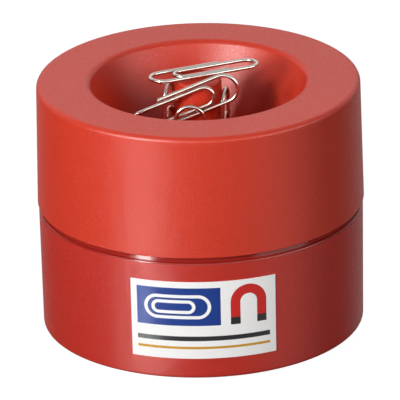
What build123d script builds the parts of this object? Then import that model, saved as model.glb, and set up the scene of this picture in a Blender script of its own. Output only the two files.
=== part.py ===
from build123d import *
import os
from math import cos, degrees, radians, sin

# Magnetic holder for paper clips: a low cup, a funnel ring that lifts off it, a post
# with a magnet in its head, and the wire clips that cling to the post.
# Millimetres, +Z up, origin on the desk under the middle of the feet, front towards -Y.

# Outer form
overall_diameter = 73.0  # across the lower edge of the ring, the widest place
base_height = 27.65  # lower edge of the cup to its shoulder
base_inset = 0.25  # the shoulder lies this far inside the ring's lower edge
base_taper = 0.3  # the cup narrows this much towards the desk
seam_height = 1.25  # shadow gap between cup and ring
seam_depth = 0.6
ring_height = 28.1
ring_taper = 0.45  # the ring narrows this much towards its rim
rim_round = 1.2
shoulder_round = 0.4
base_edge_round = 0.8

# Funnel
mouth_diameter = 48.6
mouth_round = 1.5
throat_diameter = 36.0
throat_length = 9.5
throat_lift = 2.2  # lower lip of the throat above the ring's lower edge
funnel_wall = 1.8
lip_round = 0.7

# Walls of the ring
skirt_wall = 2.0
ring_plate = 2.2
rib_count = 8
rib_thickness = 1.2
rib_lift = 2.5  # ribs end this far above the socket
rib_bite = 0.4  # how deep a rib runs into the walls that it joins

# Push fit between cup and ring
seat_width = 0.7
spigot_height = 4.5
spigot_wall = 1.8
spigot_chamfer = 0.4
push_clearance = 0.15
socket_relief = 0.6  # free height above the spigot

# Cup
cup_draft = 0.4
floor_thickness = 2.2
floor_round = 3.0
collar_height = 8.0
collar_wall = 2.0
collar_draft = 0.3

# Feet and bottom plate
base_lift = 0.6  # lower edge of the cup above the desk
foot_diameter = 8.0
foot_height = 1.2
foot_pocket = 0.4
foot_clearance = 0.1
foot_round = 0.25
foot_inset = 8.3  # middle of a foot inside the edge of the plate
foot_count = 4
base_rim = 4.45  # width of the edge that the cup leaves round the plate
plate_thickness = 1.8
plate_clearance = 0.2
ledge_width = 2.0

# Post and magnet
post_diameter = 10.4
post_rise = 0.6  # crown of the post above the rim
post_crown = 0.35
post_round = 0.5
post_wall = 1.3
post_clearance = 0.1
flange_diameter = 18.0
flange_thickness = 1.8
magnet_length = 20.0
magnet_clearance = 0.15
magnet_chamfer = 0.4
spacer_wall = 1.5

# Paper label on the front of the cup
label_width = 32.9
label_height = 18.35
label_lift = 4.9  # lower edge of the label above the lower edge of the cup
label_thickness = 0.12
label_gap = 0.02

# Wire clips
clip_length = 26.0
clip_width = 7.3
wire_diameter = 0.9
wire_gap = 0.15  # between two wires that lie side by side
tuck_depth = 5.7  # inner turn behind the outer one
outer_leg = 14.4
inner_leg = 10.0
cling_gap = 0.3  # a clip to the post, or to the clip behind it
rest_gap = 0.2  # the clip on the post's crown

# Heights
plate_low = foot_height - foot_pocket
plate_top = plate_low + plate_thickness
floor_low = plate_top + flange_thickness
floor_top = floor_low + floor_thickness
shoulder_z = base_lift + base_height
seat_z = shoulder_z + seam_height
spigot_top = seat_z + spigot_height
socket_top = spigot_top + socket_relief
rim_z = seat_z + ring_height
lip_z = seat_z + throat_lift
throat_top = lip_z + throat_length
post_top = rim_z + post_rise
bore_top = post_top - post_crown - post_wall

# Radii
ring_low_r = overall_diameter / 2
ring_top_r = ring_low_r - ring_taper
base_top_r = ring_low_r - base_inset
base_low_r = base_top_r - base_taper
band_r = base_top_r - seam_depth
spigot_r = band_r - seat_width
cup_top_r = spigot_r - spigot_wall
cup_low_r = cup_top_r - cup_draft
socket_r = spigot_r + push_clearance
skirt_r = ring_top_r - skirt_wall
mouth_r = mouth_diameter / 2
throat_r = throat_diameter / 2
throat_out_r = throat_r + funnel_wall
recess_r = base_low_r - base_rim
plate_r = recess_r - plate_clearance
ledge_r = recess_r - ledge_width
foot_circle_r = plate_r - foot_inset
post_r = post_diameter / 2
post_hole_r = post_r + post_clearance
collar_r = post_hole_r + collar_wall
bore_r = post_r - post_wall
flange_r = flange_diameter / 2
magnet_r = bore_r - magnet_clearance
wire_r = wire_diameter / 2

# Where the funnel's outer wall meets the underside of the rim plate
funnel_slope = (mouth_r - throat_r) / (rim_z - throat_top)
plate_under = rim_z - ring_plate
funnel_out_r = throat_out_r + funnel_slope * (plate_under - throat_top)


def corner(sketch, radius, height):
    return sketch.vertices().sort_by_distance((radius, height))[0]


def radial_plane(bearing):
    turn = radians(bearing)
    return Plane((0, 0, 0), x_dir=(cos(turn), sin(turn), 0), z_dir=(sin(turn), -cos(turn), 0))


def save(part, name):
    part.label = name
    export_step(part, f"parts/{name}.step")


os.makedirs("parts", exist_ok=True)

# Cup: tapered wall, recessed seam band, spigot, floor with a collar for the post
with BuildPart() as base_cup:
    with BuildSketch(Plane.XZ) as cup_profile:
        with BuildLine():
            Polyline(
                (post_hole_r, floor_low),
                (post_hole_r, floor_top + collar_height),
                (collar_r, floor_top + collar_height),
                (collar_r + collar_draft, floor_top),
                (cup_low_r, floor_top),
                (cup_top_r, spigot_top),
                (spigot_r, spigot_top),
                (spigot_r, seat_z),
                (band_r, seat_z),
                (band_r, shoulder_z),
                (base_top_r, shoulder_z),
                (base_low_r, base_lift),
                (recess_r, base_lift),
                (recess_r, plate_top),
                (ledge_r, plate_top),
                (ledge_r, floor_low),
                close=True,
            )
        make_face()
        fillet(corner(cup_profile, cup_low_r, floor_top), floor_round)
        fillet(corner(cup_profile, base_top_r, shoulder_z), shoulder_round)
        fillet(corner(cup_profile, base_low_r, base_lift), base_edge_round)
        chamfer(corner(cup_profile, spigot_r, spigot_top), spigot_chamfer)
    revolve(axis=Axis.Z)
save(base_cup.part, "base_cup")

# Ring: skirt, flat rim and funnel in one shell, stiffened by ribs under the rim
with BuildPart() as top_ring:
    with BuildSketch(Plane.XZ) as ring_profile:
        with BuildLine():
            Polyline(
                (socket_r, seat_z),
                (ring_low_r, seat_z),
                (ring_top_r, rim_z),
                (mouth_r, rim_z),
                (throat_r, throat_top),
                (throat_r, lip_z),
                (throat_out_r, lip_z),
                (throat_out_r, throat_top),
                (funnel_out_r, plate_under),
                (skirt_r, plate_under),
                (skirt_r, socket_top),
                (socket_r, socket_top),
                close=True,
            )
        make_face()
        fillet(corner(ring_profile, ring_top_r, rim_z), rim_round)
        fillet(corner(ring_profile, mouth_r, rim_z), mouth_round)
        fillet(corner(ring_profile, throat_r, lip_z), lip_round)
    revolve(axis=Axis.Z)
    with BuildSketch(*[radial_plane(360 * k / rib_count) for k in range(rib_count)]):
        with BuildLine():
            Polyline(
                (throat_out_r - rib_bite, socket_top + rib_lift),
                (throat_out_r - rib_bite, throat_top),
                (funnel_out_r - rib_bite, plate_under + rib_bite),
                (skirt_r + rib_bite, plate_under + rib_bite),
                (skirt_r + rib_bite, socket_top + rib_lift),
                close=True,
            )
        make_face()
    extrude(amount=rib_thickness / 2, both=True)
save(top_ring.part, "top_ring")

# Post: closed sleeve with a crowned head, held by its flange under the cup's floor
with BuildPart() as magnet_post:
    with BuildSketch(Plane.XZ) as post_profile:
        with BuildLine():
            crown = TangentArc((0, post_top), (post_r, post_top - post_crown), tangent=(1, 0))
            Polyline(
                crown @ 1,
                (post_r, floor_low),
                (flange_r, floor_low),
                (flange_r, plate_top),
                (bore_r, plate_top),
                (bore_r, bore_top),
                (0, bore_top),
                crown @ 0,
            )
        make_face()
        fillet(corner(post_profile, post_r, post_top - post_crown), post_round)
    revolve(axis=Axis.Z)
save(magnet_post.part, "magnet_post")

# Rod magnet under the crown
with BuildPart() as bar_magnet:
    with BuildSketch(Plane.XY.offset(bore_top - magnet_length)):
        Circle(magnet_r)
    extrude(amount=magnet_length)
    chamfer(bar_magnet.edges().filter_by(GeomType.CIRCLE), magnet_chamfer)
save(bar_magnet.part, "bar_magnet")

# Spacer tube that stands on the bottom plate and holds the magnet up
with BuildPart() as magnet_spacer:
    with BuildSketch(Plane.XY.offset(plate_top)):
        Circle(magnet_r)
        Circle(magnet_r - spacer_wall, mode=Mode.SUBTRACT)
    extrude(amount=bore_top - magnet_length - plate_top)
save(magnet_spacer.part, "magnet_spacer")

# Bottom plate that closes the cup and carries the feet in shallow pockets
with BuildPart() as bottom_plate:
    with BuildSketch(Plane.XY.offset(plate_low)):
        Circle(plate_r)
    extrude(amount=plate_thickness)
    with BuildSketch(Plane.XY.offset(plate_low)):
        with PolarLocations(foot_circle_r, foot_count, start_angle=180 / foot_count):
            Circle(foot_diameter / 2 + foot_clearance)
    extrude(amount=foot_pocket, mode=Mode.SUBTRACT)
save(bottom_plate.part, "bottom_plate")

# Rubber feet
foot_places = PolarLocations(foot_circle_r, foot_count, start_angle=180 / foot_count)
for number, place in enumerate(foot_places.locations, start=1):
    with BuildPart() as rubber_foot:
        with BuildSketch(Plane(place)):
            Circle(foot_diameter / 2)
        extrude(amount=foot_height)
        fillet(rubber_foot.faces().sort_by(Axis.Z)[0].edges(), foot_round)
    save(rubber_foot.part, f"rubber_foot_{number}")

# Paper label, bent round the cup's wall
label_low = base_lift + label_lift
label_high = label_low + label_height
label_angle = degrees(label_width / base_top_r)


def wall_r(height):
    return base_low_r + base_taper * (height - base_lift) / base_height


with BuildPart() as front_label:
    with BuildSketch(radial_plane(270 - label_angle / 2)):
        with BuildLine():
            Polyline(
                (wall_r(label_low) + label_gap, label_low),
                (wall_r(label_low) + label_gap + label_thickness, label_low),
                (wall_r(label_high) + label_gap + label_thickness, label_high),
                (wall_r(label_high) + label_gap, label_high),
                close=True,
            )
        make_face()
    revolve(axis=Axis.Z, revolution_arc=label_angle)
save(front_label.part, "front_label")


# Clips: one wire with a wide outer turn, a turn back at the other end and an inner turn
half_length = clip_length / 2 - wire_r
outer_v = clip_width / 2 - wire_r
inner_v = outer_v - wire_diameter - wire_gap
back_r = (outer_v + inner_v) / 2
outer_u = half_length - outer_v
back_u = back_r - half_length
inner_u = half_length - tuck_depth - inner_v


def bend_clip(name, plane):
    with BuildPart() as clip:
        with BuildLine(plane) as wire:
            Line((outer_u - outer_leg, outer_v), (outer_u, outer_v))
            ThreePointArc((outer_u, outer_v), (half_length, 0), (outer_u, -outer_v))
            Line((outer_u, -outer_v), (back_u, -outer_v))
            ThreePointArc((back_u, -outer_v), (-half_length, inner_v - back_r), (back_u, inner_v))
            Line((back_u, inner_v), (inner_u, inner_v))
            ThreePointArc((inner_u, inner_v), (inner_u + inner_v, 0), (inner_u, -inner_v))
            Line((inner_u, -inner_v), (inner_u - inner_leg, -inner_v))
        with BuildSketch(Plane(wire.wire() @ 0, z_dir=wire.wire() % 0)):
            Circle(wire_r)
        sweep(path=wire.wire())
    save(clip.part, name)


def cling_plane(bearing, sideways, height, turn, layer=0):
    # A plane that touches the post at a bearing; turn lifts the clip's length from level
    angle = radians(bearing)
    lift = radians(turn)
    reach = post_r + cling_gap + wire_r + layer * (wire_diameter + cling_gap)
    across = Vector(-sin(angle), cos(angle), 0)
    outward = Vector(cos(angle), sin(angle), 0)
    centre = outward * reach + across * sideways + Vector(0, 0, height)
    return Plane(centre, x_dir=across * cos(lift) + Vector(0, 0, sin(lift)), z_dir=outward)


# Places of the clips: bearing on the post, shift along the wall, top below the crown
upright = 90.0
left_bearing = 161.0
left_shift = 2.6
left_drop = 0.9
right_bearing = -12.0
right_shift = 0.5
right_drop = 2.45
front_bearing = 270.0
front_shift = -2.0
front_drop = 3.95
leaning_shift = -3.2
leaning_drop = 4.3  # middle of the leaning clip below the crown
leaning_angle = 22.0
top_shift_x = 1.2
top_shift_y = 2.4
top_angle = radians(22.6)
top_tilt = radians(3.0)  # the clip's back edge hangs lower

bend_clip("left_clip", cling_plane(left_bearing, left_shift, post_top - left_drop - clip_length / 2, upright))
bend_clip("right_clip", cling_plane(right_bearing, right_shift, post_top - right_drop - clip_length / 2, upright))
bend_clip("leaning_clip", cling_plane(front_bearing, leaning_shift, post_top - leaning_drop, leaning_angle))
bend_clip(
    "front_clip",
    cling_plane(front_bearing, front_shift, post_top - front_drop - clip_length / 2, upright, layer=1),
)
bend_clip(
    "top_clip",
    Plane(
        (top_shift_x, top_shift_y, post_top + rest_gap + wire_r - outer_v * sin(top_tilt)),
        x_dir=(-cos(top_angle), -sin(top_angle), 0),
        z_dir=(sin(top_angle) * sin(top_tilt), -cos(top_angle) * sin(top_tilt), -cos(top_tilt)),
    ),
)
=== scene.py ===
from math import cos, hypot, pi, radians, sin

import bmesh
import bpy
from mathutils import Matrix, Vector


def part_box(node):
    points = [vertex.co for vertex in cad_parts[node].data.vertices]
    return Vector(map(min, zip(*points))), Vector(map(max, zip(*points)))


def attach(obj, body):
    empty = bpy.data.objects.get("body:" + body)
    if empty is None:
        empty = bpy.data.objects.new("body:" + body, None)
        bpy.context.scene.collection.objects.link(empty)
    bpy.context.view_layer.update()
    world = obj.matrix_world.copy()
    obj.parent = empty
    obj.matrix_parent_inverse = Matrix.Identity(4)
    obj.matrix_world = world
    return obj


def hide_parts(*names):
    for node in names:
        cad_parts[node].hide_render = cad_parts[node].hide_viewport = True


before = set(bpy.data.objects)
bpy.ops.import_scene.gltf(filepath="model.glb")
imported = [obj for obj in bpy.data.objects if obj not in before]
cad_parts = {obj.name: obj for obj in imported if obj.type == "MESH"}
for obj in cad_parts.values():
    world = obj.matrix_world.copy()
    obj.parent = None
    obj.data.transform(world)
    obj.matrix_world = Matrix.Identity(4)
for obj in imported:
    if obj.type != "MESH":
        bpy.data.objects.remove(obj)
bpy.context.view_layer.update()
mm = 0.001
scene = bpy.context.scene
scene.view_settings.view_transform = "Standard"
print("frame loaded with", len(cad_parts), "nodes")


# Mesh helpers, all measures in millimetres

mergeGap = 0.001  # a spin leaves doubled corners on its axis
ringGap = 0.02  # how far a corner may lie from its ring


def drawProfile(bm, corners, closed=True):
    verts = [bm.verts.new((radius * mm, 0, height * mm)) for radius, height in corners]
    ends = verts[1:] + verts[:1] if closed else verts[1:]
    return verts + [bm.edges.new(pair) for pair in zip(verts, ends)]


def spinProfile(corners, steps, closed=True):
    bm = bmesh.new()
    profile = drawProfile(bm, corners, closed)
    bmesh.ops.spin(
        bm, geom=profile, cent=(0, 0, 0), axis=(0, 0, 1), angle=2 * pi, steps=steps, use_merge=True
    )
    bmesh.ops.remove_doubles(bm, verts=bm.verts, dist=mergeGap * mm)
    bmesh.ops.recalc_face_normals(bm, faces=bm.faces)
    return bm


def roundEdges(bm, edges, radius, segments):
    bmesh.ops.bevel(
        bm,
        geom=edges,
        offset=radius * mm,
        offset_type="OFFSET",
        segments=segments,
        profile=0.5,
        affect="EDGES",
        material=-1,
    )


def roundRing(bm, radius, height, edgeRound):
    def onRing(vert):
        aside = hypot(vert.co.x, vert.co.y) - radius * mm
        above = vert.co.z - height * mm
        return max(abs(aside), abs(above)) < ringGap * mm

    edges = [edge for edge in bm.edges if all(onRing(vert) for vert in edge.verts)]
    roundEdges(bm, edges, *edgeRound)


def only(kind, geom):
    return [item for item in geom if isinstance(item, kind)]


def meshFrom(name, bm):
    mesh = bpy.data.meshes.new(name)
    bm.to_mesh(mesh)
    bm.free()
    return mesh


def addObject(name, data):
    added = bpy.data.objects.new(name, data)
    scene.collection.objects.link(added)
    return added


def finishPiece(name, bm, material, body, node, sharpAngle=32):
    mesh = meshFrom(name, bm)
    mesh.shade_smooth()
    mesh.set_sharp_from_angle(angle=radians(sharpAngle))
    mesh.materials.append(material)
    piece = addObject(name, mesh)
    # Weighted normals keep the long flat walls flat in shading
    weighted = piece.modifiers.new("evenNormals", "WEIGHTED_NORMAL")
    weighted.keep_sharp = True
    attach(piece, body)
    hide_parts(node)
    return piece


# Node helpers

def addNode(tree, kind, **settings):
    node = tree.nodes.new(kind)
    for key, value in settings.items():
        setattr(node, key, value)
    return node


def newMaterial(name):
    material = bpy.data.materials.new(name)
    material.use_nodes = True
    tree = material.node_tree
    place = addNode(tree, "ShaderNodeTexCoord").outputs["Object"]
    return material, tree, tree.nodes["Principled BSDF"], place


def mathStep(tree, operation, *values):
    node = addNode(tree, "ShaderNodeMath", operation=operation)
    for socket, value in zip(node.inputs, values):
        if isinstance(value, (int, float)):
            socket.default_value = value
        else:
            tree.links.new(value, socket)
    return node.outputs[0]


def noiseField(tree, coordinates, scale, detail, roughness=0.5):
    noise = addNode(tree, "ShaderNodeTexNoise")
    noise.inputs["Scale"].default_value = scale
    noise.inputs["Detail"].default_value = detail
    noise.inputs["Roughness"].default_value = roughness
    tree.links.new(coordinates, noise.inputs["Vector"])
    return noise.outputs["Fac"]


def mixColour(tree, factor, first, second):
    mix = addNode(tree, "ShaderNodeMix", data_type="RGBA")
    tree.links.new(factor, mix.inputs["Factor"])
    for socket, value in ((mix.inputs["A"], first), (mix.inputs["B"], second)):
        if isinstance(value, tuple):
            socket.default_value = (*value, 1.0)
        else:
            tree.links.new(value, socket)
    return mix.outputs["Result"]


def spread(tree, value, target, source=(0.0, 1.0), curve="LINEAR"):
    span = addNode(tree, "ShaderNodeMapRange", interpolation_type=curve)
    for socket, number in zip(("From Min", "From Max", "To Min", "To Max"), (*source, *target)):
        span.inputs[socket].default_value = number
    tree.links.new(value, span.inputs["Value"])
    return span.outputs["Result"]


def addBump(tree, shader, height, strength, depth):
    bump = addNode(tree, "ShaderNodeBump")
    bump.inputs["Strength"].default_value = strength
    bump.inputs["Distance"].default_value = depth * mm
    tree.links.new(height, bump.inputs["Height"])
    tree.links.new(bump.outputs["Normal"], shader.inputs["Normal"])


# Red moulded plastic with a fine spark-eroded grain

redShell = {
    "colour": (0.62, 0.034, 0.010),
    "deep": (0.585, 0.030, 0.008),
    "cloudScale": 45,
    "roughness": (0.28, 0.45),
    "specular": 0.75,
    "grainScale": 3400,
    "grainDepth": 0.105,
    "grainStrength": 0.8,
    "sparkleScale": 2200,
    "sparkleSpan": (0.3, 0.7),
}
crimsonShell = {**redShell, "colour": (0.515, 0.022, 0.010), "deep": (0.485, 0.019, 0.008)}
# Polished plastic for the seam: its lower roughness is real polish, its darker colour is painted shade for
# the recess under the ring
polishedShellPaintedShade = {
    **crimsonShell,
    "colour": (0.34, 0.016, 0.010),
    "deep": (0.31, 0.014, 0.009),
    "roughness": (0.13, 0.19),
    "grainStrength": 0.03,
}
innerShell = {**crimsonShell, "roughness": (0.30, 0.42), "grainStrength": 0.12}


def mouldedPlastic(name, look):
    material, tree, shader, place = newMaterial(name)
    cloud = noiseField(tree, place, look["cloudScale"], detail=3.0)
    tree.links.new(mixColour(tree, cloud, look["colour"], look["deep"]), shader.inputs["Base Color"])
    grain = noiseField(tree, place, look["grainScale"], detail=2.0, roughness=0.6)
    sparkle = noiseField(tree, place, look["sparkleScale"], detail=1.0)
    gloss = spread(tree, sparkle, look["roughness"], look["sparkleSpan"])
    tree.links.new(gloss, shader.inputs["Roughness"])
    shader.inputs["Specular IOR Level"].default_value = look["specular"]
    addBump(tree, shader, grain, look["grainStrength"], look["grainDepth"])
    return material


grainedRed = mouldedPlastic("grainedRed", redShell)
grainedCrimson = mouldedPlastic("grainedCrimson", crimsonShell)
# Polished red whose darker colour is painted shade in the seam recess
smoothCrimsonPaintedShade = mouldedPlastic("smoothCrimsonPaintedShade", polishedShellPaintedShade)
innerRed = mouldedPlastic("innerRed", innerShell)
print("plastics ready")


# Funnel ring: skirt, flat rim and funnel in one shell with ribs below

ringBase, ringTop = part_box("top_ring")
ring = {
    "low": ringBase.z / mm,
    "rim": ringTop.z / mm,
    "lowRadius": ringTop.x / mm,
    "topRadius": 36.05,
    "mouthRadius": 24.3,
    "throatRadius": 18.0,
    "throatTop": 41.2,
    "lip": 31.7,
    "wall": 1.8,
    "plate": 2.2,
    "skirtRadius": 34.05,
    "socketRadius": 35.1,
    "socketTop": 34.6,
    "ribs": 8,
    "ribThickness": 1.2,
    "ribLift": 2.5,
    "ribBite": 0.4,
    "rimRound": (1.2, 6),  # each round with its segments
    "mouthRound": (1.05, 5),
    "throatRound": (0.8, 4),
    "lipRound": (0.7, 4),
    "lowRound": (0.22, 3),
    "steps": 192,
}


def addRib(bm, outline, thickness, bearing):
    corners = [bm.verts.new((radius * mm, -thickness / 2 * mm, height * mm)) for radius, height in outline]
    side = bm.faces.new(corners)
    made = bmesh.ops.extrude_face_region(bm, geom=[side], use_keep_orig=True)["geom"]
    pulled = only(bmesh.types.BMVert, made)
    bmesh.ops.translate(bm, verts=pulled, vec=(0, thickness * mm, 0))
    bmesh.ops.transform(bm, matrix=Matrix.Rotation(bearing, 4, "Z"), verts=pulled + corners)
    ribFaces = {face for vert in pulled + corners for face in vert.link_faces}
    bmesh.ops.recalc_face_normals(bm, faces=list(ribFaces))


def makeRing(part):
    slope = (part["mouthRadius"] - part["throatRadius"]) / (part["rim"] - part["throatTop"])
    under = part["rim"] - part["plate"]
    outThroat = part["throatRadius"] + part["wall"]
    outMouth = outThroat + slope * (under - part["throatTop"])
    bm = spinProfile(
        [
            (part["socketRadius"], part["low"]),
            (part["lowRadius"], part["low"]),
            (part["topRadius"], part["rim"]),
            (part["mouthRadius"], part["rim"]),
            (part["throatRadius"], part["throatTop"]),
            (part["throatRadius"], part["lip"]),
            (outThroat, part["lip"]),
            (outThroat, part["throatTop"]),
            (outMouth, under),
            (part["skirtRadius"], under),
            (part["skirtRadius"], part["socketTop"]),
            (part["socketRadius"], part["socketTop"]),
        ],
        part["steps"],
    )
    roundRing(bm, part["topRadius"], part["rim"], part["rimRound"])
    roundRing(bm, part["mouthRadius"], part["rim"], part["mouthRound"])
    roundRing(bm, part["throatRadius"], part["throatTop"], part["throatRound"])
    roundRing(bm, part["throatRadius"], part["lip"], part["lipRound"])
    roundRing(bm, part["lowRadius"], part["low"], part["lowRound"])
    bite = part["ribBite"]
    ribLow = part["socketTop"] + part["ribLift"]
    ribOutline = [
        (outThroat - bite, ribLow),
        (outThroat - bite, part["throatTop"]),
        (outMouth - bite, under + bite),
        (part["skirtRadius"] + bite, under + bite),
        (part["skirtRadius"] + bite, ribLow),
    ]
    for number in range(part["ribs"]):
        addRib(bm, ribOutline, part["ribThickness"], 2 * pi * number / part["ribs"])
    finishPiece("funnelRing", bm, grainedRed, "ring", "top_ring")


makeRing(ring)
print("funnel ring made")


# Cup: tapered wall, seam band, spigot, floor and the collar for the post

cupBase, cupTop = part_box("base_cup")
cup = {
    "low": cupBase.z / mm,
    "spigotTop": cupTop.z / mm,
    "topRadius": 36.25,
    "lowRadius": 35.95,
    "shoulder": 28.25,
    "seat": 29.5,
    "bandRadius": 35.65,
    "spigotRadius": 34.95,
    "insideTop": 33.15,
    "insideLow": 32.75,
    "floor": 6.6,
    "floorUnder": 4.4,
    "collarRadius": 7.3,
    "collarDraft": 0.3,
    "collarHeight": 8.0,
    "holeRadius": 5.3,
    "recessRadius": 31.5,
    "recessTop": 2.6,
    "ledgeRadius": 29.5,
    # the polished zone with painted shade starts this far out from the inside wall
    "polishAndShadeDepth": 0.5,
    "floorRound": (3.0, 6),  # each round with its segments
    "shoulderRound": (0.4, 5),
    "edgeRound": (0.8, 5),
    "spigotRound": (0.4, 2),
    "collarRound": (0.4, 3),
    "insideRound": (0.25, 3),
    "steps": 192,
}


def makeCup(part):
    collarTop = part["floor"] + part["collarHeight"]
    bm = spinProfile(
        [
            (part["holeRadius"], part["floorUnder"]),
            (part["holeRadius"], collarTop),
            (part["collarRadius"], collarTop),
            (part["collarRadius"] + part["collarDraft"], part["floor"]),
            (part["insideLow"], part["floor"]),
            (part["insideTop"], part["spigotTop"]),
            (part["spigotRadius"], part["spigotTop"]),
            (part["spigotRadius"], part["seat"]),
            (part["bandRadius"], part["seat"]),
            (part["bandRadius"], part["shoulder"]),
            (part["topRadius"], part["shoulder"]),
            (part["lowRadius"], part["low"]),
            (part["recessRadius"], part["low"]),
            (part["recessRadius"], part["recessTop"]),
            (part["ledgeRadius"], part["recessTop"]),
            (part["ledgeRadius"], part["floorUnder"]),
        ],
        part["steps"],
    )
    roundRing(bm, part["insideLow"], part["floor"], part["floorRound"])
    roundRing(bm, part["topRadius"], part["shoulder"], part["shoulderRound"])
    roundRing(bm, part["lowRadius"], part["low"], part["edgeRound"])
    roundRing(bm, part["spigotRadius"], part["spigotTop"], part["spigotRound"])
    roundRing(bm, part["collarRadius"], collarTop, part["collarRound"])
    roundRing(bm, part["insideTop"], part["spigotTop"], part["insideRound"])
    piece = finishPiece("cup", bm, grainedCrimson, "base", "base_cup")
    # Shoulder, seam band and spigot come off a polished part of the mould and take a darker colour, painted
    # shade for the recess under the ring
    piece.data.materials.append(smoothCrimsonPaintedShade)
    polishAndShadeLow = part["shoulder"] - part["shoulderRound"][0]
    polishAndShadeInner = part["insideTop"] + part["polishAndShadeDepth"]
    for face in piece.data.polygons:
        middle = face.center / mm
        if middle.z > polishAndShadeLow and hypot(middle.x, middle.y) > polishAndShadeInner:
            face.material_index = 1


makeCup(cup)
print("cup made")


# Post: sleeve with a crowned head on a flange

postBase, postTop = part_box("magnet_post")
post = {
    "foot": postBase.z / mm,
    "top": postTop.z / mm,
    "radius": 5.2,
    "crown": 0.35,
    "crownRings": 4,
    "boreRadius": 3.9,
    "boreTop": 56.55,
    "flangeRadius": 9.0,
    "flangeTop": 4.4,
    "headRound": (0.5, 5),  # each round with its segments
    "flangeRound": (0.3, 3),
    "steps": 96,
}


def makePost(part):
    shares = [k / part["crownRings"] for k in range(part["crownRings"] + 1)]
    crown = [(part["radius"] * share, part["top"] - part["crown"] * share**2) for share in shares]
    sleeve = [
        (part["radius"], part["flangeTop"]),
        (part["flangeRadius"], part["flangeTop"]),
        (part["flangeRadius"], part["foot"]),
        (part["boreRadius"], part["foot"]),
        (part["boreRadius"], part["boreTop"]),
        (0, part["boreTop"]),
    ]
    bm = spinProfile(crown + sleeve, part["steps"], closed=False)
    roundRing(bm, *crown[-1], part["headRound"])
    roundRing(bm, part["flangeRadius"], part["flangeTop"], part["flangeRound"])
    finishPiece("post", bm, grainedRed, "base", "magnet_post")


makePost(post)
print("post made")


# Paper label on the cup, with plain generic print

label = {
    "low": 5.5,
    "high": 23.85,
    "width": 32.9,
    "gap": 0.02,
    "thickness": 0.12,
    "steps": 64,
    "paper": (0.97, 0.97, 0.96),
    "paperShade": 0.97,
    "paperScale": 900,
    "fibreScale": 5200,
    "fibreStrength": 0.05,
    "fibreDepth": 0.02,
    "roughness": (0.34, 0.46),
    "blue": (0.008, 0.042, 0.25),
    "red": (0.60, 0.020, 0.016),
    "black": (0.022, 0.022, 0.024),
    "gold": (0.62, 0.33, 0.03),
    # Print from the label's middle: across and up, then the sizes that its function names
    "field": (-5.6, 3.2, 9.4, 4.5),
    "outerLoop": (-5.8, 3.2, 4.6, 2.5, 0.75),
    "innerLoop": (-6.7, 3.2, 3.3, 1.25, 0.75),
    "horseshoe": (10.1, 3.9, 1.9, 4.1, 5.2),
    "tipsBelow": 0.4,
    "upperRule": (0.0, -4.4, 15.0, 0.55),
    "lowerRule": (0.0, -6.6, 15.0, 0.3),
}


def cupWall(height):
    rise = (height - cup["low"]) / (cup["shoulder"] - cup["low"])
    return cup["lowRadius"] + (cup["topRadius"] - cup["lowRadius"]) * rise


def printedPaper(name, part):
    material, tree, shader, place = newMaterial(name)
    split = addNode(tree, "ShaderNodeSeparateXYZ")
    tree.links.new(place, split.inputs[0])
    middle = (part["low"] + part["high"]) / 2
    radius = cupWall(middle) + part["gap"] + part["thickness"]
    forward = mathStep(tree, "MULTIPLY", split.outputs["Y"], -1.0)
    bearing = mathStep(tree, "ARCTAN2", split.outputs["X"], forward)
    across = mathStep(tree, "MULTIPLY", bearing, radius)  # millimetres along the paper
    height = mathStep(tree, "SUBTRACT", mathStep(tree, "DIVIDE", split.outputs["Z"], mm), middle)

    def offset(value, centre):
        return mathStep(tree, "SUBTRACT", value, centre)

    def within(value, centre, half):
        return mathStep(tree, "LESS_THAN", mathStep(tree, "ABSOLUTE", offset(value, centre)), half)

    def both(first, second):
        return mathStep(tree, "MULTIPLY", first, second)

    def distance(run, rise):
        return mathStep(tree, "SQRT", mathStep(tree, "ADD", both(run, run), both(rise, rise)))

    def block(centreAcross, centreHeight, halfWidth, halfHeight):
        return both(within(across, centreAcross, halfWidth), within(height, centreHeight, halfHeight))

    def loopLine(centreAcross, centreHeight, halfRun, turn, line):  # outline of a long round-ended loop
        side = mathStep(tree, "ABSOLUTE", offset(across, centreAcross))
        run = mathStep(tree, "MAXIMUM", offset(side, halfRun), 0.0)
        return within(distance(run, offset(height, centreHeight)), turn, line / 2)

    def archBand(centreAcross, centreHeight, inner, outer, leg):  # a horseshoe with its legs down
        side = offset(across, centreAcross)
        rise = offset(height, centreHeight)
        far = distance(side, mathStep(tree, "MAXIMUM", rise, 0.0))
        band = within(far, (inner + outer) / 2, (outer - inner) / 2)
        return both(band, mathStep(tree, "GREATER_THAN", rise, -leg))

    horseshoe = archBand(*part["horseshoe"])
    tips = both(horseshoe, mathStep(tree, "LESS_THAN", height, part["tipsBelow"]))
    layers = [
        (block(*part["field"]), "blue"),
        (loopLine(*part["outerLoop"]), "paper"),
        (loopLine(*part["innerLoop"]), "paper"),
        (horseshoe, "red"),
        (tips, "black"),
        (block(*part["upperRule"]), "black"),
        (block(*part["lowerRule"]), "gold"),
    ]
    cloud = noiseField(tree, place, part["paperScale"], detail=2.0)
    shaded = tuple(part["paperShade"] * channel for channel in part["paper"])
    ink = mixColour(tree, cloud, part["paper"], shaded)
    for mask, colour in layers:
        ink = mixColour(tree, mask, ink, part[colour])
    tree.links.new(ink, shader.inputs["Base Color"])
    fibre = noiseField(tree, place, part["fibreScale"], detail=3.0)
    tree.links.new(spread(tree, fibre, part["roughness"]), shader.inputs["Roughness"])
    addBump(tree, shader, fibre, part["fibreStrength"], part["fibreDepth"])
    return material


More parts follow.
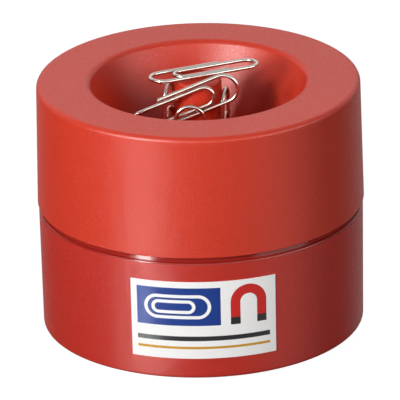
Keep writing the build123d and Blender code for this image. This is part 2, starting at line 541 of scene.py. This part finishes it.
def makeLabel(part):
    low, high, thickness = part["low"], part["high"], part["thickness"]
    lowWall = cupWall(low) + part["gap"]
    highWall = cupWall(high) + part["gap"]
    corners = [(lowWall, low), (lowWall + thickness, low), (highWall + thickness, high), (highWall, high)]
    half = part["width"] / 2 / cup["topRadius"]
    bm = bmesh.new()
    profile = drawProfile(bm, corners)
    bmesh.ops.transform(bm, matrix=Matrix.Rotation(-pi / 2 - half, 4, "Z"), verts=bm.verts)
    bmesh.ops.spin(bm, geom=profile, cent=(0, 0, 0), axis=(0, 0, 1), angle=2 * half, steps=part["steps"])
    bmesh.ops.holes_fill(bm, edges=bm.edges, sides=len(corners))
    bmesh.ops.recalc_face_normals(bm, faces=bm.faces)
    finishPiece("paperLabel", bm, printedPaper("printedPaper", part), "base", "front_label")


makeLabel(label)
print("label made")


# Bright wire clips: runs and half turns of one round wire

clip = {
    "length": 26.0,
    "width": 7.3,
    "wire": 0.9,
    "gap": 0.15,
    "tuck": 5.7,
    "outerLeg": 14.4,
    "innerLeg": 10.0,
    "endRound": (0.1, 3),  # with its segments
    "sides": 20,
    "turnSteps": 20,
    "sharpAngle": 60,
    "steel": (0.90, 0.83, 0.75),
    "shade": (0.82, 0.75, 0.67),
    "streakScale": 1400,
    "roughness": (0.18, 0.24),
    "metallic": 1.0,
}


def drawnWire(name, part):
    material, tree, shader, place = newMaterial(name)
    streaks = noiseField(tree, place, part["streakScale"], detail=4.0, roughness=0.65)
    tree.links.new(mixColour(tree, streaks, part["steel"], part["shade"]), shader.inputs["Base Color"])
    tree.links.new(spread(tree, streaks, part["roughness"]), shader.inputs["Roughness"])
    shader.inputs["Metallic"].default_value = part["metallic"]
    return material


brightWire = drawnWire("brightWire", clip)


def bendClip(name, centre, along, normal, part):
    wireRadius = part["wire"] / 2
    halfLength = part["length"] / 2 - wireRadius
    outer = part["width"] / 2 - wireRadius
    inner = outer - part["wire"] - part["gap"]
    backTurn = (outer + inner) / 2
    outerEnd = halfLength - outer
    backEnd = backTurn - halfLength
    innerEnd = halfLength - part["tuck"] - inner
    bm = bmesh.new()
    start = Vector((outerEnd - part["outerLeg"], outer, 0)) * mm
    seat = Matrix.Translation(start) @ Matrix.Rotation(pi / 2, 4, "Y")
    first = bmesh.ops.create_circle(bm, segments=part["sides"], radius=wireRadius * mm, matrix=seat)["verts"]
    front = list({edge for vert in first for edge in vert.link_edges})
    startRim = list(front)

    def run(edges, distance):
        made = bmesh.ops.extrude_edge_only(bm, edges=edges)["geom"]
        moved = only(bmesh.types.BMVert, made)
        bmesh.ops.translate(bm, verts=moved, vec=(distance * mm, 0, 0))
        return [edge for edge in only(bmesh.types.BMEdge, made) if set(edge.verts) <= set(moved)]

    def turn(edges, alongCentre, acrossCentre):
        corners = list({vert for edge in edges for vert in edge.verts})
        made = bmesh.ops.spin(
            bm,
            geom=corners + edges,
            cent=Vector((alongCentre, acrossCentre, 0)) * mm,
            axis=(0, 0, 1),
            angle=-pi,
            steps=part["turnSteps"],
        )["geom_last"]
        return only(bmesh.types.BMEdge, made)

    front = run(front, part["outerLeg"])
    front = turn(front, outerEnd, 0)
    front = run(front, backEnd - outerEnd)
    front = turn(front, backEnd, (inner - outer) / 2)
    front = run(front, innerEnd - backEnd)
    front = turn(front, innerEnd, 0)
    front = run(front, -part["innerLeg"])
    for rim in (startRim, front):
        bmesh.ops.edgeloop_fill(bm, edges=rim)
    roundEdges(bm, startRim + front, *part["endRound"])
    bmesh.ops.recalc_face_normals(bm, faces=bm.faces)
    along, normal = Vector(along).normalized(), Vector(normal).normalized()
    turned = Matrix((along, normal.cross(along), normal)).transposed().to_4x4()
    bmesh.ops.transform(bm, matrix=Matrix.Translation(Vector(centre) * mm) @ turned, verts=bm.verts)
    pieceName = name.replace("_c", "C") + "Wire"
    finishPiece(pieceName, bm, brightWire, name, name, part["sharpAngle"])


# Where the clips cling to the post, at bearings that go from the right to the back, and how one rests on it
cling = {
    "gap": 0.3,
    "restGap": 0.2,
    "left_clip": {"bearing": 161.0, "shift": 2.6, "middle": 44.3, "lift": 90.0, "layer": 0},
    "right_clip": {"bearing": -12.0, "shift": 0.5, "middle": 42.75, "lift": 90.0, "layer": 0},
    "leaning_clip": {"bearing": 270.0, "shift": -3.2, "middle": 53.9, "lift": 22.0, "layer": 0},
    "front_clip": {"bearing": 270.0, "shift": -2.0, "middle": 41.25, "lift": 90.0, "layer": 1},
    "top_clip": {"x": 1.2, "y": 2.4, "turn": 22.6, "tilt": 3.0},
}


def clingToPost(name, stand):
    bearing, lift = radians(stand["bearing"]), radians(stand["lift"])
    outward = Vector((cos(bearing), sin(bearing), 0))
    sideways = Vector((-sin(bearing), cos(bearing), 0))
    reach = post["radius"] + cling["gap"] + clip["wire"] / 2
    reach += stand["layer"] * (clip["wire"] + cling["gap"])
    centre = outward * reach + sideways * stand["shift"] + Vector((0, 0, stand["middle"]))
    bendClip(name, centre, sideways * cos(lift) + Vector((0, 0, sin(lift))), outward, clip)


def restOnHead(name, stand):
    turn, tilt = radians(stand["turn"]), radians(stand["tilt"])
    drop = (clip["width"] - clip["wire"]) / 2 * sin(tilt)  # the back edge hangs lower
    height = post["top"] + cling["restGap"] + clip["wire"] / 2 - drop
    along = (-cos(turn), -sin(turn), 0)
    normal = (sin(turn) * sin(tilt), -cos(turn) * sin(tilt), -cos(tilt))
    bendClip(name, (stand["x"], stand["y"], height), along, normal, clip)


for name in ("left_clip", "right_clip", "leaning_clip", "front_clip"):
    clingToPost(name, cling[name])
restOnHead("top_clip", cling["top_clip"])
print("clips made")


# Finishes of the CAD pieces that stay: plate, spacer, magnet and feet

rubber = {
    "first": (0.020, 0.020, 0.021),
    "second": (0.032, 0.032, 0.033),
    "scale": 1800,
    "roughness": (0.62, 0.8),
    "metallic": 0.0,
    "bumpStrength": 0.15,
    "bumpDepth": 0.03,
}
plating = {
    **rubber,
    "first": (0.42, 0.42, 0.43),
    "second": (0.34, 0.34, 0.35),
    "scale": 1200,
    "roughness": (0.25, 0.4),
    "metallic": 1.0,
}


def greyFinish(name, look):
    material, tree, shader, place = newMaterial(name)
    cloud = noiseField(tree, place, look["scale"], detail=4.0, roughness=0.6)
    tree.links.new(mixColour(tree, cloud, look["first"], look["second"]), shader.inputs["Base Color"])
    tree.links.new(spread(tree, cloud, look["roughness"]), shader.inputs["Roughness"])
    shader.inputs["Metallic"].default_value = look["metallic"]
    addBump(tree, shader, cloud, look["bumpStrength"], look["bumpDepth"])
    return material


footRubber = greyFinish("footRubber", rubber)
platedMagnet = greyFinish("platedMagnet", plating)
finishes = {
    "bottom_plate": innerRed,
    "magnet_spacer": innerRed,
    "bar_magnet": platedMagnet,
    "rubber_foot_1": footRubber,
    "rubber_foot_2": footRubber,
    "rubber_foot_3": footRubber,
    "rubber_foot_4": footRubber,
}
for name, material in finishes.items():
    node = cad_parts[name]
    if not node.material_slots:
        node.data.materials.append(material)
    for holder in node.material_slots:
        holder.material = material
print("carried pieces finished")


# Floor, room and soft light, in metres; bearings go from the front to the right

studio = {
    "floorSize": 8.0,
    "floorGlow": 0.96,
    "floorSeen": (0.12, 0.12, 0.12),
    "floorBounce": (0.4, 0.4, 0.4),
    "tableGlow": 0.02,
    "tableShine": (0.6, 0.6, 0.6),
    "tableRoughness": 0.1,
    "sky": 0.045,
    "window": {"bearing": 10, "fade": (0.0, 0.25), "glow": (0.1, 2.6)},
    "backdrop": {"bearing": 180, "fade": (0.1, 0.75), "glow": (0.1, 0.77)},
    "tableEnd": {"bearing": 172, "fade": (0.56, 0.88), "glow": (0.0, 0.62)},
    "roomRise": (0.0, 0.14),
    "windowTop": (0.3, 0.5),
    "ceilingRise": (0.4, 0.8),
    "ceilingGlow": 0.42,
    "tableBounce": 1.5,  # glossy rays deeper than this come by way of the table
    "key": {"bearing": -41, "distance": 0.45, "width": 0.085, "low": 0.145, "high": 0.31, "watts": 2.16},
    "fill": {"bearing": 34, "distance": 0.5, "width": 0.2, "low": 0.06, "high": 0.6, "watts": 0.97},
    "back": {"bearing": 165, "distance": 0.5, "width": 0.4, "low": 0.41, "high": 0.93, "watts": 4.2},
    "side": {"bearing": -105, "distance": 0.5, "width": 0.3, "low": 0.08, "high": 0.17, "watts": 0.27},
    "card": {"bearing": 58, "distance": 0.5, "width": 0.36, "low": 0.09, "high": 0.33, "watts": 0.36},
}


def fromFront(bearing):
    turn = radians(bearing)
    return Vector((sin(turn), -cos(turn), 0))


def makeFloor(part):
    bm = bmesh.new()
    bmesh.ops.create_grid(bm, x_segments=1, y_segments=1, size=part["floorSize"] / 2)
    mesh = meshFrom("deskFloor", bm)
    floor = addObject("deskFloor", mesh)
    material = bpy.data.materials.new("paleFloor")
    material.use_nodes = True
    tree = material.node_tree
    tree.nodes.remove(tree.nodes["Principled BSDF"])

    def coat(kind, colour):
        shader = addNode(tree, kind)
        shader.inputs["Color"].default_value = (*colour, 1)
        return shader

    def glowing(strength, shader):
        glow = addNode(tree, "ShaderNodeEmission")
        glow.inputs["Strength"].default_value = strength
        total = addNode(tree, "ShaderNodeAddShader")
        tree.links.new(glow.outputs[0], total.inputs[0])
        tree.links.new(shader.outputs[0], total.inputs[1])
        return total.outputs[0]

    def choose(ray, otherwise, chosen):
        mix = addNode(tree, "ShaderNodeMixShader")
        for source, socket in zip((ray, otherwise, chosen), mix.inputs):
            tree.links.new(source, socket)
        return mix.outputs[0]

    bounce = coat("ShaderNodeBsdfDiffuse", part["floorBounce"])
    seen = glowing(part["floorGlow"], coat("ShaderNodeBsdfDiffuse", part["floorSeen"]))
    shine = coat("ShaderNodeBsdfAnisotropic", part["tableShine"])
    shine.inputs["Roughness"].default_value = part["tableRoughness"]
    mirrored = glowing(part["tableGlow"], shine)  # the glossy table in the reflections
    path = addNode(tree, "ShaderNodeLightPath")
    direct = mathStep(tree, "MAXIMUM", path.outputs["Is Camera Ray"], path.outputs["Is Transmission Ray"])
    surface = choose(path.outputs["Is Glossy Ray"], bounce.outputs[0], mirrored)
    surface = choose(direct, surface, seen)
    tree.links.new(surface, tree.nodes["Material Output"].inputs["Surface"])
    mesh.materials.append(material)


def makeSky(part):
    world = bpy.data.worlds.new("studioSky")
    scene.world = world
    world.use_nodes = True
    tree = world.node_tree
    sky = tree.nodes["Background"]
    sky.inputs["Color"].default_value = (1, 1, 1, 1)
    direction = addNode(tree, "ShaderNodeTexCoord").outputs["Generated"]
    split = addNode(tree, "ShaderNodeSeparateXYZ")
    tree.links.new(direction, split.inputs[0])
    rise = split.outputs["Z"]

    def ramp(value, source, target):
        return spread(tree, value, target, source, "SMOOTHSTEP")

    def lobe(patch):  # a patch of light that fades out round its bearing
        facing = addNode(tree, "ShaderNodeVectorMath", operation="DOT_PRODUCT")
        facing.inputs[1].default_value = fromFront(patch["bearing"])
        tree.links.new(direction, facing.inputs[0])
        return ramp(facing.outputs["Value"], patch["fade"], patch["glow"])

    lintel = ramp(rise, part["windowTop"], (1.0, 0.0))
    window = mathStep(tree, "MULTIPLY", lobe(part["window"]), lintel)
    walls = mathStep(tree, "MAXIMUM", window, lobe(part["backdrop"]))
    walls = mathStep(tree, "MULTIPLY", walls, ramp(rise, part["roomRise"], (0.0, 1.0)))
    ceiling = ramp(rise, part["ceilingRise"], (0.0, part["ceilingGlow"]))
    room = mathStep(tree, "MAXIMUM", walls, ceiling)
    path = addNode(tree, "ShaderNodeLightPath")
    bounced = mathStep(tree, "GREATER_THAN", path.outputs["Glossy Depth"], part["tableBounce"])
    mirrored = addNode(tree, "ShaderNodeMix")
    for source, socket in zip((bounced, room, lobe(part["tableEnd"])), ("Factor", "A", "B")):
        tree.links.new(source, mirrored.inputs[socket])
    strength = mathStep(tree, "MULTIPLY", path.outputs["Is Glossy Ray"], mirrored.outputs["Result"])
    for other in (part["sky"], path.outputs["Is Camera Ray"], path.outputs["Is Transmission Ray"]):
        strength = mathStep(tree, "MAXIMUM", strength, other)
    tree.links.new(strength, sky.inputs["Strength"])


def makeStrip(name, part):  # an upright light that faces the object
    lamp = bpy.data.lights.new(name, "AREA")
    lamp.shape = "RECTANGLE"
    lamp.size = part["width"]
    lamp.size_y = part["high"] - part["low"]
    lamp.energy = part["watts"]
    holder = addObject(name, lamp)
    outward = fromFront(part["bearing"])
    holder.location = outward * part["distance"] + Vector((0, 0, (part["low"] + part["high"]) / 2))
    holder.rotation_euler = (-outward).to_track_quat("-Z", "Y").to_euler()
    holder.visible_camera = False
    return holder


makeFloor(studio)
makeSky(studio)
makeStrip("keyStrip", studio["key"])
makeStrip("rightFill", studio["fill"]).visible_glossy = False
makeStrip("backPanel", studio["back"]).visible_glossy = False
makeStrip("leftFill", studio["side"]).visible_glossy = False
makeStrip("rightCard", studio["card"]).visible_diffuse = False
print("studio lit")


# Camera from the photo's side: lens, sensor and aim in millimetres, the rest in metres and degrees

view = {
    "elevation": 22.17,
    "roll": -1.35,
    "distance": 1.6,
    "lens": 643.5,
    "sensor": 36,
    "aim": (-0.21, 0, 28.54),
    "nearest": 0.1,
    "farthest": 50,
}


def makeCamera(part):
    camera = bpy.data.cameras.new("photoView")
    camera.lens = part["lens"]
    camera.sensor_width = part["sensor"]
    camera.clip_start = part["nearest"]
    camera.clip_end = part["farthest"]
    holder = addObject("photoView", camera)
    rise, roll = radians(part["elevation"]), radians(part["roll"])
    level, upward = Vector((1, 0, 0)), Vector((0, sin(rise), cos(rise)))
    back = Vector((0, -cos(rise), sin(rise)))
    right = level * cos(roll) + upward * sin(roll)
    up = back.cross(right)
    stand = Matrix((right, up, back)).transposed().to_4x4()
    stand.translation = Vector(part["aim"]) * mm + back * part["distance"]
    holder.matrix_world = stand
    scene.camera = holder


makeCamera(view)
print("camera set")
